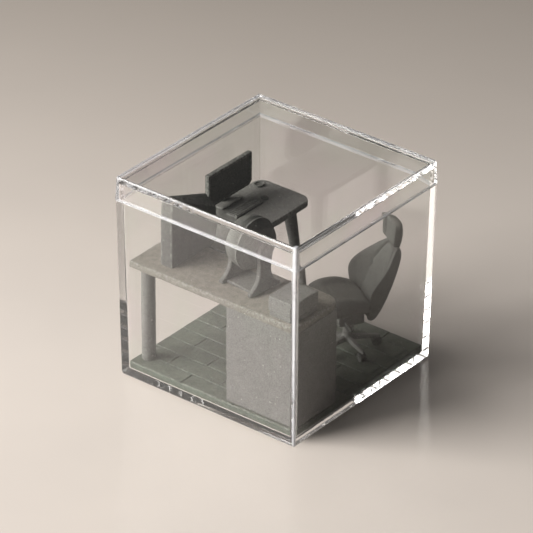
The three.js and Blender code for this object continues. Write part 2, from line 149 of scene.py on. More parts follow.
POLYSTYRENE_IOR = 1.47
# Painted highlight: the white frosting and its two strengths below stand in for glints of light on one
# upright corner and the lid rims.
GLINT_FROST_WHITE, PASS_THROUGH = (0.80, 0.82, 0.87, 1), (0.93, 0.93, 0.93, 1)
LID_RIM_Z, LID_CROWN_Z = 53.12, 59.62
CORNER_GLINT_STRENGTH, RIM_GLINT_STRENGTH = 0.6, 0.4


def clear_plastic():
    """Clear polystyrene, faintly wavy. The lid's edges and the upright corner between the front and right
    walls get white frosting as a painted highlight, in place of glints of light along the walls.
    Light for the inside passes straight through."""
    s = Shader("clear_polystyrene")
    waves = s.node("ShaderNodeBump", Strength=0.12, Distance=0.00006, Height=s.noise(0.05, 2, 0.4))
    rough = s.ramp(s.noise(0.35, 4), 0.5, 0.75, 0.0, 0.04)
    tint = s.mix(s.ramp(s.noise(0.045, 2), 0.42, 0.58), (0.968, 0.977, 0.967), (0.982, 0.966, 0.977))
    glass = s.node("ShaderNodeBsdfPrincipled", Base_Color=tint, Roughness=rough, Normal=waves.outputs[0])
    for socket, value in (("Transmission Weight", 1.0), ("IOR", POLYSTYRENE_IOR)):
        glass.inputs[socket].default_value = value
    across, along, high = s.node("ShaderNodeSeparateXYZ", Vector=s.place).outputs[:3]

    def at_wall(value):
        return s.ramp(s.maths("ABSOLUTE", value), 28.2, 28.9)

    def near_height(level, reach):
        return s.maths("LESS_THAN", s.maths("ABSOLUTE", s.maths("SUBTRACT", high, level)), reach)

    corner = s.maths("MULTIPLY", at_wall(across), at_wall(along))
    corner = s.maths("MULTIPLY", corner, s.ramp(s.maths("SUBTRACT", across, along), 20, 50))
    rims = s.maths("MAXIMUM", near_height(LID_RIM_Z, 0.2), near_height(LID_CROWN_Z, 0.22))
    corner = s.maths("MULTIPLY", corner, CORNER_GLINT_STRENGTH)
    # The mask below paints highlights: frosting on the corner and the lid rims, in place of glints of light.
    worn = s.maths("MAXIMUM", corner, s.maths("MULTIPLY", rims, RIM_GLINT_STRENGTH))
    worn = s.maths("MULTIPLY", worn, s.ramp(s.noise(0.12, 4, 0.6), 0.34, 0.52, 0.45, 1.0))
    glint_frost = s.node("ShaderNodeBsdfDiffuse", Color=GLINT_FROST_WHITE)
    surface = s.node("ShaderNodeMixShader", Fac=worn, i1=glass.outputs[0], i2=glint_frost.outputs[0])
    through = s.node("ShaderNodeBsdfTransparent", Color=PASS_THROUGH)
    path = s.node("ShaderNodeLightPath")
    other = s.maths("MAXIMUM", path.outputs["Is Shadow Ray"], path.outputs["Is Diffuse Ray"])
    both = s.node("ShaderNodeMixShader", Fac=other, i1=surface.outputs[0], i2=through.outputs[0])
    return s.output(both.outputs[0])


# The far tone and the fade below are painted shade, standing in for the window light falling off across the
# table.
TABLE, TABLE_CLOUD, TABLE_FAR_SHADE = (0.66, 0.61, 0.57), (0.70, 0.645, 0.60), (0.335, 0.303, 0.275)
SHADE_FADE_ALONG, SHADE_FADE_START, SHADE_FADE_END = (-0.62, 0.785, 0), 10, 260


def pale_floor():
    """The table: pale and faintly clouded, with painted shade: darker towards the back left, away from the
    camera.
    """
    s = Shader("pale_table")
    cloud = s.ramp(s.noise(0.012, 3), 0.35, 0.65)
    near = s.mix(cloud, TABLE, TABLE_CLOUD)
    # Painted shade: the colour darkens along this direction between the fade's start and end.
    away = s.node("ShaderNodeVectorMath", {"operation": "DOT_PRODUCT"}, i0=s.place, i1=SHADE_FADE_ALONG)
    body = s.mix(s.ramp(away.outputs["Value"], SHADE_FADE_START, SHADE_FADE_END), near, TABLE_FAR_SHADE)
    surface = s.node("ShaderNodeBsdfPrincipled", Base_Color=body)
    surface.inputs["Roughness"].default_value = 0.22
    surface.inputs["Specular IOR Level"].default_value = 0.12
    return s.output(surface.outputs[0])


GREY = resin("grey_resin", (0.145, 0.147, 0.139), (0.245, 0.246, 0.235), speck=0.9, worn=1.0)
FLOOR_GREY = resin("floor_resin", (0.078, 0.098, 0.076), (0.148, 0.174, 0.14), 0.6, worn=1.0)
LIGHT = resin("light_resin", (0.1, 0.103, 0.095), (0.21, 0.211, 0.198))
DARK = resin("dark_resin", (0.07, 0.074, 0.068), (0.145, 0.147, 0.137))
DESK_GREY = resin("desk_resin", (0.155, 0.147, 0.125), (0.26, 0.245, 0.21), speck=0.9, worn=0.9, dusty=0.55)
# A darker copy of the grey resin for the chair's seat, back and headrest: painted shade.
SHADED_CHAIR_GREY = resin("shaded_chair_resin", (0.066, 0.068, 0.062), (0.14, 0.141, 0.131))
SLOTS = {"resin_grey": GREY, "resin_floor": FLOOR_GREY, "resin_light": LIGHT, "resin_dark": DARK}
CLEAR = clear_plastic()


# ---- mesh making --------------------------------------------------------------------------------

def rub_layer(bm):
    return bm.verts.layers.float.get("rub") or bm.verts.layers.float.new("rub")


def piece(name, bm, body, slot, replaces=(), at=None, crease=38, rough=0.0, material=None):
    """Turns a mesh made in millimetres into an object that rides on a body."""
    if at is not None:
        bm.transform(at)
    bmesh.ops.recalc_face_normals(bm, faces=bm.faces)
    if rough:
        bm.normal_update()
        moves = [v.normal * rough * (noise.noise(v.co * 0.9) + 0.5 * noise.noise(v.co * 2.7))
                 for v in bm.verts]
        for v, move in zip(bm.verts, moves):
            v.co += move
    for e in bm.edges:
        e.smooth = len(e.link_faces) == 2 and e.calc_face_angle(0) < math.radians(crease)
    for f in bm.faces:
        f.smooth = True
    bm.transform(Matrix.Scale(0.001, 4))
    mesh = bpy.data.meshes.new(name)
    bm.to_mesh(mesh)
    bm.free()
    made = bpy.data.objects.new(name, mesh)
    bpy.context.scene.collection.objects.link(made)
    mesh.materials.append(material or SLOTS[slot])
    even = made.modifiers.new("even normals", "WEIGHTED_NORMAL")
    even.weight = 90
    even.keep_sharp = True
    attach(made, body)
    if replaces:
        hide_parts(*replaces)
    return made


def add_loft(bm, rings, rub=()):
    """Skins a run of closed rings and closes both ends. rub holds the numbers of rubbed rings."""
    layer = rub_layer(bm)
    loops = []
    for number, ring in enumerate(rings):
        loop = [bm.verts.new(p) for p in ring]
        for v in loop:
            v[layer] = 1.0 if number in rub else 0.0
        loops.append(loop)
    count = len(loops[0])
    for a, b in zip(loops, loops[1:]):
        for i in range(count):
            j = (i + 1) % count
            bm.faces.new((a[i], a[j], b[j], b[i]))
    bm.faces.new(loops[0][::-1])
    bm.faces.new(loops[-1])


def add_turned(bm, profile, segments=40, at=None):
    """Turns a profile of (radius, height) points about Z; ends on the axis close to a point."""
    rings = []
    for radius, height in profile:
        radius = max(radius, 0.0005)
        angles = [2 * math.pi * i / segments for i in range(segments)]
        rings.append([Vector((radius * math.cos(a), radius * math.sin(a), height)) for a in angles])
    part = bmesh.new()
    add_loft(part, rings)
    bmesh.ops.remove_doubles(part, verts=part.verts, dist=0.002)
    merge(bm, part, at)


def merge(bm, part, at=None):
    """Adds a part to a mesh, moved by a matrix if one is given."""
    if at is not None:
        part.transform(at)
    mesh = bpy.data.meshes.new("part")
    part.to_mesh(mesh)
    part.free()
    bm.from_mesh(mesh)
    bpy.data.meshes.remove(mesh)


def stops(low, high, edge, pitch):
    """Places along one side of a block, closer together at both edges."""
    inner = max(1, round((high - low - 2 * edge) / pitch))
    middle = [low + edge + (high - low - 2 * edge) * i / inner for i in range(inner + 1)]
    return [low, low + 0.45 * edge] + middle + [high - 0.45 * edge, high]


def add_block(bm, box, edge=0.25, pitch=1.4, chip=0.0):
    """A block with rounded edges that are worn back here and there by up to chip."""
    layer = rub_layer(bm)
    lines = [stops(low, high, edge, pitch) for low, high in box]
    counts = [len(line) for line in lines]
    inner_low = Vector([low + edge for low, high in box])
    inner_high = Vector([high - edge for low, high in box])
    made = {}

    def vertex(key):
        if key not in made:
            p = Vector([lines[axis][key[axis]] for axis in range(3)])
            core = Vector([min(max(p[i], inner_low[i]), inner_high[i]) for i in range(3)])
            out = p - core
            corner = sum(abs(out[i]) > 0.4 * edge for i in range(3)) > 1
            wear = chip * max(0, noise.noise(p * 0.55) + 0.35) if corner else 0
            v = bm.verts.new(core + out.normalized() * max(0.05, edge - wear))
            v[layer] = 1.0 if corner else 0.0
            made[key] = v
        return made[key]

    for axis in range(3):
        a, b = [i for i in range(3) if i != axis]
        for side in (0, counts[axis] - 1):
            for i in range(counts[a] - 1):
                for j in range(counts[b] - 1):
                    keys = []
                    for di, dj in ((0, 0), (1, 0), (1, 1), (0, 1)):
                        key = [0, 0, 0]
                        key[axis], key[a], key[b] = side, i + di, j + dj
                        keys.append(tuple(key))
                    bm.faces.new([vertex(k) for k in keys])


def rounded_outline(xs, ys, radii, pitch=1.2, steps=6):
    """Points and outward directions round a rectangle. radii runs from the low corner, anticlockwise."""
    (x0, x1), (y0, y1) = xs, ys
    corners = [(x0, y0, 180), (x1, y0, 270), (x1, y1, 0), (x0, y1, 90)]
    inward = [(1, 1), (-1, 1), (-1, -1), (1, -1)]
    points = []
    for (x, y, start), (ix, iy), radius in zip(corners, inward, radii):
        for k in range(steps + 1):
            angle = math.radians(start + 90 * k / steps)
            n = Vector((math.cos(angle), math.sin(angle), 0))
            centre = Vector((x + ix * radius, y + iy * radius, 0))
            points.append((centre + n * radius, n))
    filled = []
    for (p, n), (q, m) in zip(points, points[1:] + points[:1]):
        filled.append((p, n))
        gap = (q - p).length
        extra = int(gap / pitch)
        for k in range(1, extra + 1):
            if extra and gap > pitch:
                filled.append((p.lerp(q, k / (extra + 1)), (n + m).normalized()))
    return filled


def add_board(bm, outline, low, high, edge=0.3, chip=0.0):
    """A flat board from an outline, with round edges worn back here and there."""
    profile = [(low, edge), (low + 0.3 * edge, 0.3 * edge), (low + edge, 0)]
    profile += [(high - edge, 0), (high - 0.3 * edge, 0.3 * edge), (high, edge)]
    rings = []
    for number, (z, inset) in enumerate(profile):
        ring = []
        for p, n in outline:
            wear = chip * max(0, noise.noise(Vector((p.x, p.y, z)) * 0.5) + 0.3) if number != 2 else 0
            ring.append(Vector((p.x, p.y, z)) - n * (inset + wear))
        rings.append(ring)
    inside = [[Vector((p.x, p.y, z)) - n * (edge + 0.45) for p, n in outline] for z in (low, high)]
    add_loft(bm, [inside[0], *rings, inside[1]], rub=(1, 2, 4, 5, 6))


def add_plate(bm, outline, xs, edge=0.15, rub_all=False):
    """A plate across X from a ring of (y, z) points that runs anticlockwise seen from +X."""
    count = len(outline)
    points = [Vector((0, y, z)) for y, z in outline]
    directions = []
    for i in range(count):
        along = points[(i + 1) % count] - points[i - 1]
        directions.append(Vector((0, along.z, -along.y)).normalized())
    rings = []
    for x, inset in ((xs[0], edge), (xs[0] + edge, 0), (xs[1] - edge, 0), (xs[1], edge)):
        rings.append([p - d * inset + Vector((x, 0, 0)) for p, d in zip(points, directions)])
    add_loft(bm, rings, rub=(0, 1, 2, 3) if rub_all else ())


def add_cushion(bm, stations, front, rear, half_width, power=5.0, count=28, axis="z"):
    """A crowned pad lofted through stations. front and rear give its two faces at (side, station);
    the faces close on each other round the rim."""
    first, last = stations[0], stations[-1]
    rings = []
    for s in stations:
        t = 2 * (s - first) / (last - first) - 1
        close_end = max(0.0, 1 - abs(t) ** 14) ** (1 / 3)
        width = half_width(s)
        ring = []
        for k in range(2 * count):
            a = math.pi * k / count
            u = math.cos(a)
            side = width * math.copysign(abs(u) ** 0.8, u)
            swell = max(0.0, 1 - abs(side / width) ** power) ** (1 / power) * close_end
            f, r = front(side, s), rear(side, s)
            middle, half = (f + r) / 2, (f - r) / 2 * max(swell, 0.02)
            depth = middle + half if k < count else middle - half
            ring.append(Vector((depth, side, s)) if axis == "z" else Vector((s, side, depth)))
        rings.append(ring)
    add_loft(bm, rings)


def bead(value, centre, width):
    """A smooth bump of height 1 at centre."""
    return math.exp(-(((value - centre) / width) ** 2))


# ---- clear cube ---------------------------------------------------------------------------------

def square_ring(half, corner, z, steps=6):
    outline = rounded_outline((-half, half), (-half, half), [corner] * 4, 100, steps)
    return [Vector((p.x, p.y, z)) for p, _ in outline]


def clear_cube():
    (_, x1), _, (_, z1) = span("case_body")
    _, _, (lid_z0, lid_z1) = span("case_lid")
    lid_half = span("case_lid")[0][1]
    top, base, wall, neck = x1, x1 - 0.7, 1.9, lid_half - 1.15
    shoulder = lid_z0 - 0.05
    soft = [(0.0, -0.95), (0.08, -0.6), (0.3, -0.25), (0.65, -0.06), (1.1, 0.0)]
    rings = [square_ring(base + inset, 0.5, z) for z, inset in soft]
    rings += [square_ring(top - 0.02, 0.5, shoulder - 0.25), square_ring(top - 0.1, 0.5, shoulder - 0.07),
              square_ring(top - 0.3, 0.45, shoulder), square_ring(neck, 0.42, shoulder + 0.02)]
    rings += [square_ring(neck, 0.42, z1 - 0.25), square_ring(neck - 0.08, 0.42, z1 - 0.08),
              square_ring(neck - 0.25, 0.4, z1)]
    inner = top - wall
    rings += [square_ring(inner + 0.25, 0.38, z1), square_ring(inner + 0.08, 0.34, z1 - 0.08),
              square_ring(inner, 0.3, z1 - 0.25)]
    rings += [square_ring(base - wall, 0.3, 2.7), square_ring(base - wall - 0.12, 0.28, 2.25),
              square_ring(base - wall - 0.45, 0.25, 2.02)]
    bm = bmesh.new()
    add_loft(bm, rings)
    piece("cube_body", bm, "cube", "clear_plastic", ["case_body"], crease=60, material=CLEAR)

    half, crown, bore, plate = lid_half, lid_half - 0.35, lid_half - 1, lid_z1 - 2
    rings = [square_ring(bore, 0.42, plate), square_ring(bore, 0.42, lid_z0 + 0.15),
             square_ring(bore + 0.12, 0.45, lid_z0), square_ring(half - 0.12, 0.5, lid_z0),
             square_ring(half, 0.5, lid_z0 + 0.15)]
    rings += [square_ring(crown + 0.02, 0.5, lid_z1 - 0.4), square_ring(crown - 0.05, 0.5, lid_z1 - 0.16),
              square_ring(crown - 0.2, 0.5, lid_z1 - 0.04), square_ring(crown - 0.4, 0.45, lid_z1)]
    bm = bmesh.new()
    add_loft(bm, rings)
    piece("cube_lid", bm, "lid", "clear_plastic", ["case_lid"], crease=60, material=CLEAR)


# ---- floor and furniture ------------------------------------------------------------------------

def plank_floor():
    (x0, x1), (y0, y1), (z0, z1) = span("floor_plate")
    first, pitch, length, gap, sunk = 5.1, 5.6, 17.5, 0.3, 0.35
    bm = bmesh.new()
    add_block(bm, [(x0, x1), (y0, y1), (z0 + 0.15, z1 - sunk)], 0.2, 6)
    row, high = 0, y0
    while high < y1 - 0.5:
        low, high = high, min(y0 + first + row * pitch, y1)
        x, end = x0, x0 + (length / 2 if row % 2 else length)
        while x < x1 - 0.5:
            lift = 0.07 * noise.noise(Vector((x * 0.3, low * 0.3, 2.0)))
            near = low + (gap / 2 if row else 0)
            far = high - (gap / 2 if high < y1 else 0)
            left = x + (gap / 2 if x > x0 else 0)
            right = min(end, x1) - (gap / 2 if end < x1 else 0)
            box = [(left, right), (near, far), (z1 - sunk - 0.1, z1 - 0.07 + lift)]
            add_block(bm, box, 0.14, 1.6, 0.08)
            x, end = end, end + length
        row += 1
    piece("plank_floor", bm, "cube", "resin_floor", ["floor_plate"], rough=0.03)


def furniture():
    xs, ys, zs = span("desk_top")
    bm = bmesh.new()
    add_board(bm, rounded_outline(xs, ys, [0.5, 0.5, 4, 0.5], 0.7), *zs, edge=0.32, chip=0.22)
    piece("front_desk_top", bm, "cube", "resin_grey", ["desk_top"], rough=0.05, material=DESK_GREY)

    xs, ys, zs = span("side_table_top")
    bm = bmesh.new()
    add_board(bm, rounded_outline(xs, ys, [3.2] * 4, 0.7), *zs, edge=0.32, chip=0.18)
    piece("side_table_board", bm, "cube", "resin_grey", ["side_table_top"], rough=0.05)

    bm = bmesh.new()
    add_block(bm, span("desk_pedestal"), 0.25, 0.9, 0.15)
    piece("pedestal_block", bm, "cube", "resin_grey", ["desk_pedestal"], rough=0.06)

    (x0, x1), (y0, y1), (z0, z1) = span("desk_leg")
    radius = (x1 - x0) / 2
    profile = [(0, z0), (radius - 0.1, z0), (radius, z0 + 0.15)]
    profile += [(radius, z0 + (z1 - z0) * k / 14) for k in range(1, 14)]
    profile += [(radius, z1 - 0.3), (radius + 0.25, z1), (0, z1)]
    bm = bmesh.new()
    add_turned(bm, profile, 40, Matrix.Translation(((x0 + x1) / 2, (y0 + y1) / 2, 0)))
    piece("front_desk_leg", bm, "cube", "resin_grey", ["desk_leg"], rough=0.06)

    for place in ("right", "left"):
        node = "side_table_leg_" + place
        (x0, x1), (y0, y1), (z0, z1) = span(node)
        top_radius, foot_radius = 1.85, 0.6
        top = Vector((x0 + top_radius if place == "right" else x1 - top_radius, y0 + top_radius, z1))
        foot = Vector((x1 - foot_radius if place == "right" else x0 + foot_radius, y1 - foot_radius, z0))
        rings = []
        for k in range(15):
            t = k / 14
            radius = foot_radius + (top_radius - foot_radius) * t + 0.12 * math.sin(math.pi * t)
            if k == 0:
                radius -= 0.12
            centre = foot.lerp(top, t)
            angles = [2 * math.pi * i / 28 for i in range(28)]
            rings.append([centre + Vector((radius * math.cos(a), radius * math.sin(a), 0)) for a in angles])
        bm = bmesh.new()
        add_loft(bm, rings)
        piece("table_leg_" + place, bm, "cube", "resin_grey", [node], rough=0.05)


def desk_things():
    (x0, x1), (y0, y1), (z0, z1) = span("file_tower")
    low_left, low_right = z0 + 12.3, z0 + 9.4
    across = [0, 0.1, 0.3, 0.8, 1.4, 1.95]
    across += [x1 - x0 - a for a in across[::-1]]
    along = stops(y0, y1, 0.2, 0.7)
    bm = bmesh.new()
    rings = []
    for a in across:
        share, inset = a / (x1 - x0), 0.2 * max(0, 1 - min(a, x1 - x0 - a) / 0.3) ** 2
        low = low_left + (low_right - low_left) * share

        def top_at(y):
            return z1 + (low - z1) * (y - y0) / (y1 - y0) - inset

        ys = [min(max(y, y0 + inset), y1 - inset) for y in along]
        front, back = ys[0], ys[-1]
        ring = [Vector((x0 + a, y, z0)) for y in ys]
        ring += [Vector((x0 + a, back, z0 + (top_at(back) - z0) * t)) for t in (0.2, 0.4, 0.6, 0.8, 0.95)]
        ring += [Vector((x0 + a, y, top_at(y))) for y in ys[::-1]]
        ring += [Vector((x0 + a, front, z0 + (top_at(front) - z0) * t)) for t in (0.97, 0.8, 0.6, 0.4, 0.2)]
        rings.append(ring)
    add_loft(bm, rings, rub=(1, 2, len(rings) - 3, len(rings) - 2))
    # The tower is drawn in the dark resin instead of its grey slot: painted shade.
    piece("file_tower_block", bm, "cube", "resin_grey", ["file_tower"], rough=0.05, material=DARK)

    bm = bmesh.new()
    add_block(bm, span("box_file_lower"), 0.15, 1.2, 0.06)
    piece("lower_box_file", bm, "cube", "resin_grey", ["box_file_lower"], rough=0.03)
    (x0, x1), (y0, y1), (z0, z1) = span("box_file_upper")
    bm = bmesh.new()
    add_block(bm, [(x0, x1), (y0, y1), (z0 + 0.12, z1)], 0.28, 0.9, 0.2)
    piece("upper_box_file", bm, "cube", "resin_grey", ["box_file_upper"], rough=0.05)


def yoke_and_head():
    hinge = JOINTS["head_tilt"]
    pivot = Vector(hinge["pos_m"]) * 1000
    turn = math.atan2(hinge["axis"][1], hinge["axis"][0])
    desk_z = span("yoke_base")[2][0]
    at = Matrix.Translation((pivot.x, pivot.y, desk_z)) @ Matrix.Rotation(turn, 4, "Z")
    rise, span_x, cheek = pivot.z - desk_z, 8.9, 1.4
    bm = bmesh.new()
    add_block(bm, [(-span_x / 2 + 0.05, span_x / 2 - 0.05), (-3.9, 3.9), (0, 0.9)], 0.2, 0.9, 0.05)
    piece("yoke_plate", bm, "cube", "resin_light", ["yoke_base"], at, rough=0.03)

    outline = [(-5.3, 0.0), (-3, 0.0), (0, 0.0), (3, 0.0), (5.3, 0.0), (5.5, 0.5), (5.4, 1.0)]
    for k in range(1, 9):
        t = k / 8
        a, b, c = (5.4, 1.0), (2.3, 2.4), (2.1, 6.0)
        outline.append(tuple((1 - t) ** 2 * a[i] + 2 * t * (1 - t) * b[i] + t * t * c[i] for i in range(2)))
    outline += [(2.1, 8.5)]
    arc = [math.pi * k / 14 for k in range(15)]
    outline += [(2.1 * math.cos(a), rise + 2.1 * math.sin(a)) for a in arc]
    mirrored = [(-y, z) for y, z in outline[5:16]][::-1]
    outline += mirrored
    for side, name in ((-1, "yoke_cheek_left"), (1, "yoke_cheek_right")):
        bm = bmesh.new()
        middle = side * (span_x + cheek) / 2
        add_plate(bm, outline, (middle - cheek / 2, middle + cheek / 2), 0.2)
        piece(name + "_plate", bm, "cube", "resin_light", [name], at, rough=0.03)

    radius, rim = 6.3, 1.3
    up = Matrix.Translation((0, 0, rise)) @ Matrix.Rotation(math.pi / 2, 4, "Y")
    end = span_x / 2 + cheek + 0.35

    def dome(from_x, to_x, count, relief):
        points = []
        for k in range(count + 1):
            x = from_x + (to_x - from_x) * k / count
            points.append((math.sqrt(radius * radius - x * x) + relief(k), x))
        return points

    left = [(0, -end), (0.65, -end), (0.8, -end + 0.15), (0.8, -4.5), (1.3, -4.35), (3.2, -4.3), (4.3, -4.22)]
    left += dome(-4.2, rim - 0.25, 44, lambda k: 0.05 * math.cos(k * math.pi)) + [(0, rim - 0.24)]
    bm = bmesh.new()
    add_turned(bm, left, 72)
    piece("round_head_shell", bm, "head", "resin_light", ["head_shell"], at @ up, crease=80)
    right = [(0, rim + 0.24)] + dome(rim + 0.25, 4.2, 36, lambda k: 0.16 * math.cos(k * math.pi / 2) - 0.12)
    right += [(4.4, 4.25), (3.2, 4.35), (1.3, 4.4), (0.8, 4.5), (0.8, end - 0.15), (0.65, end), (0, end)]
    bm = bmesh.new()
    add_turned(bm, right, 72)
    piece("round_head_housing", bm, "head", "resin_grey", ["head_housing"], at @ up, crease=80)
    ring = [(0, rim - 0.22), (radius + 0.1, rim - 0.22), (radius + 0.2, rim - 0.1),
            (radius + 0.2, rim + 0.1), (radius + 0.1, rim + 0.22), (0, rim + 0.22)]
    bm = bmesh.new()
    add_turned(bm, ring, 72)
    piece("round_head_rim", bm, "head", "resin_grey", ["head_rim"], at @ up)


def monitor_set():
    (x0, x1), (y0, y1), (z0, z1) = span("monitor_panel")
    c = 1.1
    ring = [(y0 + c, z0), (y1 - c, z0), (y1, z0 + c), (y1, z1 - 0.2),
            (y1 - 0.2, z1), (y0 + 0.2, z1), (y0, z1 - 0.2), (y0, z0 + c)]
    middle = Vector((0, (y0 + y1) / 2, (z0 + z1) / 2))

    def scaled(x, inset):
        half_y, half_z = (y1 - y0) / 2, (z1 - z0) / 2
        sy, sz = (half_y - inset) / half_y, (half_z - inset) / half_z
        return [Vector((x, middle.y + (y - middle.y) * sy, middle.z + (z - middle.z) * sz)) for y, z in ring]

    rings = [scaled(x0 - 0.55, 3.4), scaled(x0 - 0.5, 2.6), scaled(x0, 1.9), scaled(x0, 0.2)]
    rings += [scaled(x0 + 0.2, 0)]
    rings += [scaled(x1 - 0.15, 0), scaled(x1, 0.15), scaled(x1, 0.75), scaled(x1 - 0.2, 0.85)]
    bm = bmesh.new()
    add_loft(bm, rings, rub=(4, 5, 6, 7))
    piece("monitor_screen", bm, "cube", "resin_dark", ["monitor_panel"], crease=30)

    (x0, x1), (y0, y1), (z0, z1) = span("monitor_neck")
    bm = bmesh.new()
    add_block(bm, [(x0, x1), (y0, y1), (z0, z1)], 0.2, 1)
    piece("monitor_stalk", bm, "cube", "resin_grey", ["monitor_neck"])
    (x0, x1), (y0, y1), (z0, z1) = span("monitor_foot")
    bm = bmesh.new()
    add_board(bm, rounded_outline((x0, x1), (y0, y1), [1.2] * 4, 0.6), z0, z1, 0.15, 0.05)
    piece("monitor_foot_plate", bm, "cube", "resin_grey", ["monitor_foot"], rough=0.02)

    (x0, x1), (y0, y1), (z0, z1) = span("keyboard")
    bm = bmesh.new()
    add_block(bm, [(x0, x1), (y0, y1), (z0, z1 - 0.2)], 0.12, 1.5)
    rows, columns = 4, 12
    for i in range(rows):
        for j in range(columns):
            cell_x, cell_y = (x1 - x0 - 0.5) / rows, (y1 - y0 - 0.5) / columns
            kx, ky = x0 + 0.25 + i * cell_x, y0 + 0.25 + j * cell_y
            key = [(kx + 0.08, kx + cell_x - 0.08), (ky + 0.08, ky + cell_y - 0.08), (z1 - 0.3, z1)]
            add_block(bm, key, 0.08, 2)
    piece("keyboard_keys", bm, "cube", "resin_grey", ["keyboard"])

    (x0, x1), (y0, y1), (z0, z1) = span("mouse")
    cx, cy, rx, ry, h = (x0 + x1) / 2, (y0 + y1) / 2, (x1 - x0) / 2, (y1 - y0) / 2, z1 - z0
    rings = []
    for k in range(9):
        t = k / 8 * math.pi / 2
        size, z = (math.cos(t) ** 0.7 if k < 8 else 0.05), z0 + h * math.sin(t)
        size = max(size, 0.05)
        angles = [2 * math.pi * i / 32 for i in range(32)]
        ring = []
        for a in angles:
            split = 0.05 * bead(math.sin(a), 0, 0.2) * (k > 4) * (math.cos(a) > 0)
            ring.append(Vector((cx + rx * size * math.cos(a), cy + ry * size * math.sin(a), z - split)))
        rings.append(ring)
    bm = bmesh.new()
    add_loft(bm, rings)
    piece("mouse_shell", bm, "cube", "resin_dark", ["mouse"])

    (x0, x1), (y0, y1), (z0, z1) = span("cable_grommet")
    r, h = (x1 - x0) / 2, z1 - z0
    profile = [(0, 0), (r, 0), (r, 0.6 * h), (r - 0.12, h),
               (r - 0.4, h), (r - 0.55, 0.6 * h), (r - 0.55, 0.3 * h), (0, 0.3 * h)]
    bm = bmesh.new()
    add_turned(bm, profile, 40, Matrix.Translation(((x0 + x1) / 2, (y0 + y1) / 2, z0)))
    piece("grommet_ring", bm, "cube", "resin_dark", ["cable_grommet"])


# ---- swivel chair -------------------------------------------------------------------------------

FACING = math.radians(238)


def chair_base():
    axis = Vector(JOINTS["chair_swivel"]["pos_m"]) * 1000
    centre = Matrix.Translation((axis.x, axis.y, 0))
    floor_z = span("chair_castor_1")[2][0]
    bm = bmesh.new()
    hub = [(0, 7), (1.35, 7), (1.75, 7.25), (1.8, 7.7), (1.55, 8.5), (1.2, 8.85), (1.1, 9.2), (0, 9.2)]
    add_turned(bm, hub, 40)
    for leg in range(5):
        rings = []
        for k in range(9):
            t = k / 8
            r = 0.9 + 8 * t
            half, top, low = 0.72 - 0.2 * t, 8.65 - 0.75 * t ** 0.8, 7.1 + 0.05 * t
            if k == 8:
                half, top = half * 0.6, top - 0.12
            waist = low + 0.35 * (top - low)
            section = [(-half, low), (half, low), (half * 1.05, waist), (half * 0.8, top - 0.12),
                       (half * 0.35, top), (-half * 0.35, top),
                       (-half * 0.8, top - 0.12), (-half * 1.05, waist)]
            rings.append([Vector((r, y, z)) for y, z in section])
        part = bmesh.new()
        add_loft(part, rings)
        merge(bm, part, Matrix.Rotation(math.radians(-23 + 72 * leg), 4, "Z"))
    piece("star_base", bm, "cube", "resin_grey", ["chair_star_base"], centre, crease=45)

    for number in range(5):
        turn = Matrix.Rotation(math.radians(-23 + 72 * number), 4, "Z")
        turn = turn @ Matrix.Translation((8.0, 0, floor_z))
        bm = bmesh.new()
        for side in (-1, 1):
            tyre = [(0, 0), (0.75, 0), (1.1, 0.04), (1.28, 0.16), (1.3, 0.3), (1.3, 0.55),
                    (1.22, 0.68), (0.9, 0.72), (0.85, 0.62), (0.4, 0.62), (0.35, 0.74), (0, 0.74)]
            stand = Matrix.Translation((0, side * 0.2, 1.3)) @ Matrix.Rotation(-side * math.pi / 2, 4, "X")
            add_turned(bm, tyre, 36, stand)
        hood = []
        for k in range(9):
            a = math.radians(20 + 140 * k / 8)
            y, z = 1.0, 1.3
            hood.append([Vector((1.45 * math.cos(a), w, z + 1.42 * math.sin(a))) for w in (-0.16, 0.16)] +
                        [Vector((1.2 * math.cos(a), w, z + 1.15 * math.sin(a))) for w in (0.16, -0.16)])
        part = bmesh.new()
        add_loft(part, hood)
        merge(bm, part)
        add_turned(bm, [(0, 1.2), (0.42, 1.2), (0.42, 2.3), (0.55, 2.35), (0.55, 2.55), (0, 2.58)], 20)
        label = "castor_%d" % (number + 1)
        piece(label, bm, "cube", "resin_dark", ["chair_" + label], centre @ turn)

    bm = bmesh.new()
    sleeve = [(0, 9.22), (1.25, 9.22), (1.25, 9.5), (1.05, 9.6), (1.05, 10.5), (0.95, 10.75), (0, 10.8)]
    add_turned(bm, sleeve, 36)
    piece("column_sleeve", bm, "cube", "resin_grey", ["chair_column_outer"], centre)
    bm = bmesh.new()
    add_turned(bm, [(0, 10.85), (0.7, 10.85), (0.7, 12), (0.95, 12.15), (0.95, 12.4), (0, 12.4)], 32)
    piece("column_rod", bm, "chair", "resin_grey", ["chair_column_inner"], centre)


